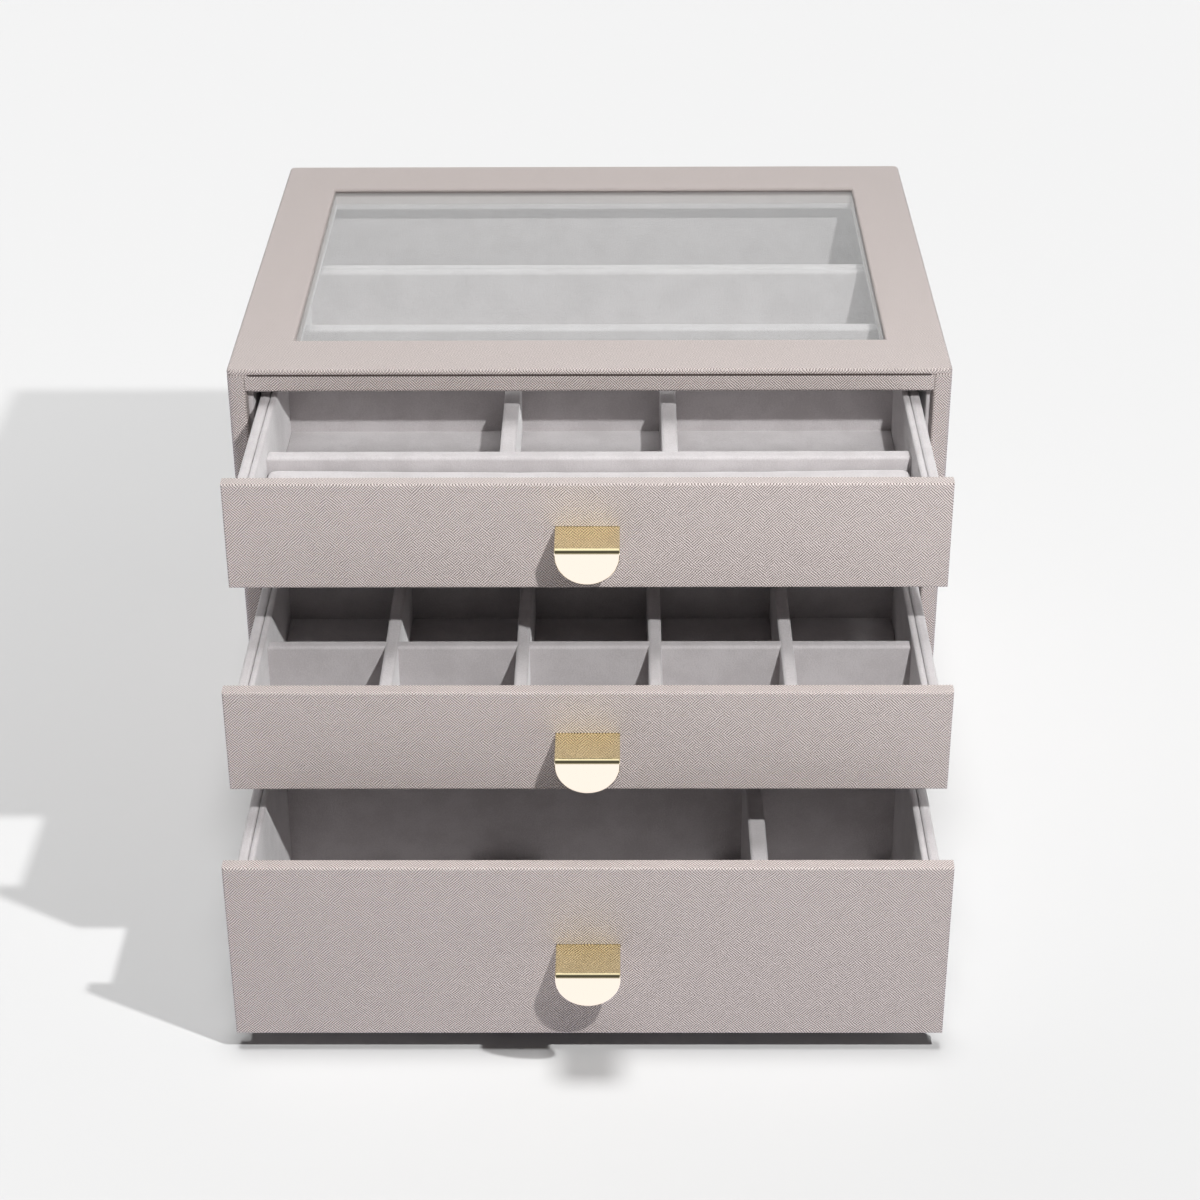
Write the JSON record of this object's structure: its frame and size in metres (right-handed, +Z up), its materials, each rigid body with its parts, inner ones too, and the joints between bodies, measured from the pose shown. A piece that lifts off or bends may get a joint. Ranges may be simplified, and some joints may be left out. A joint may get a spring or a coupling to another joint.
{
  "type": "jewelry box",
  "caption": "Leather-covered jewelry box with a glazed top and velvet-lined drawers, each opened by a bent brass tab pull.",
  "frame": {"origin": "middle of the case's underside, on the plane that it stands on", "axes": "+Z up, +Y from the drawer fronts to the back of the case, +X to the right seen from the front"},
  "size_m": [0.3, 0.4182, 0.2308],
  "materials": {
    "taupe_leather": "fine cross-hatched grain, satin",
    "grey_velvet": "short-pile velvet",
    "velvet_cushion": "short-pile velvet over foam",
    "base_felt": "pressed felt",
    "polished_brass": "mirror polished",
    "screw_steel": "bright zinc",
    "clear_pane": "clear float glass"
  },
  "bodies": {
    "case": {"left_side_panel": "taupe_leather", "right_side_panel": "taupe_leather", "back_panel": "taupe_leather", "base_panel": "taupe_leather", "base_felt": "base_felt", "upper_rail": "taupe_leather", "lower_rail": "taupe_leather", "upper_shelf": "grey_velvet", "lower_shelf": "grey_velvet", "left_case_lining": "grey_velvet", "right_case_lining": "grey_velvet", "back_case_lining": "grey_velvet", "ceiling_lining": "grey_velvet", "top_frame": "taupe_leather", "window_pane": "clear_pane", "top_cover": "taupe_leather"},
    "top_drawer": {"top_drawer_front": "taupe_leather", "top_drawer_pull": "polished_brass", "top_drawer_pull_screws": "screw_steel", "top_drawer_base": "grey_velvet", "top_drawer_left_wall": "grey_velvet", "top_drawer_right_wall": "grey_velvet", "top_drawer_back_wall": "grey_velvet", "top_drawer_side_linings": "grey_velvet", "top_drawer_back_lining": "grey_velvet", "top_drawer_front_lining": "grey_velvet", "top_drawer_floor_pad": "velvet_cushion", "top_drawer_ring_pad": "velvet_cushion", "top_drawer_ring_divider": "grey_velvet", "top_drawer_middle_divider": "grey_velvet", "top_drawer_rear_divider": "grey_velvet", "top_drawer_cell_dividers": "grey_velvet"},
    "middle_drawer": {"middle_drawer_front": "taupe_leather", "middle_drawer_pull": "polished_brass", "middle_drawer_pull_screws": "screw_steel", "middle_drawer_base": "grey_velvet", "middle_drawer_left_wall": "grey_velvet", "middle_drawer_right_wall": "grey_velvet", "middle_drawer_back_wall": "grey_velvet", "middle_drawer_side_linings": "grey_velvet", "middle_drawer_back_lining": "grey_velvet", "middle_drawer_front_lining": "grey_velvet", "middle_drawer_floor_pad": "velvet_cushion", "middle_drawer_first_row_divider": "grey_velvet", "middle_drawer_second_row_divider": "grey_velvet", "middle_drawer_column_dividers": "grey_velvet"},
    "bottom_drawer": {"bottom_drawer_front": "taupe_leather", "bottom_drawer_pull": "polished_brass", "bottom_drawer_pull_screws": "screw_steel", "bottom_drawer_base": "grey_velvet", "bottom_drawer_left_wall": "grey_velvet", "bottom_drawer_right_wall": "grey_velvet", "bottom_drawer_back_wall": "grey_velvet", "bottom_drawer_side_linings": "grey_velvet", "bottom_drawer_back_lining": "grey_velvet", "bottom_drawer_front_lining": "grey_velvet", "bottom_drawer_floor_pad": "velvet_cushion", "bottom_drawer_rear_divider": "grey_velvet", "bottom_drawer_watch_divider": "grey_velvet"}
  },
  "joints": [
    {"name": "top_drawer_slide", "type": "slide", "parent": "case", "child": "top_drawer", "axis": [0, -1, 0], "range_m": [-0.0833, 0.1067]},
    {"name": "middle_drawer_slide", "type": "slide", "parent": "case", "child": "middle_drawer", "axis": [0, -1, 0], "range_m": [-0.1204, 0.0696]},
    {"name": "bottom_drawer_slide", "type": "slide", "parent": "case", "child": "bottom_drawer", "axis": [0, -1, 0], "range_m": [-0.1542, 0.0358]}
  ]
}
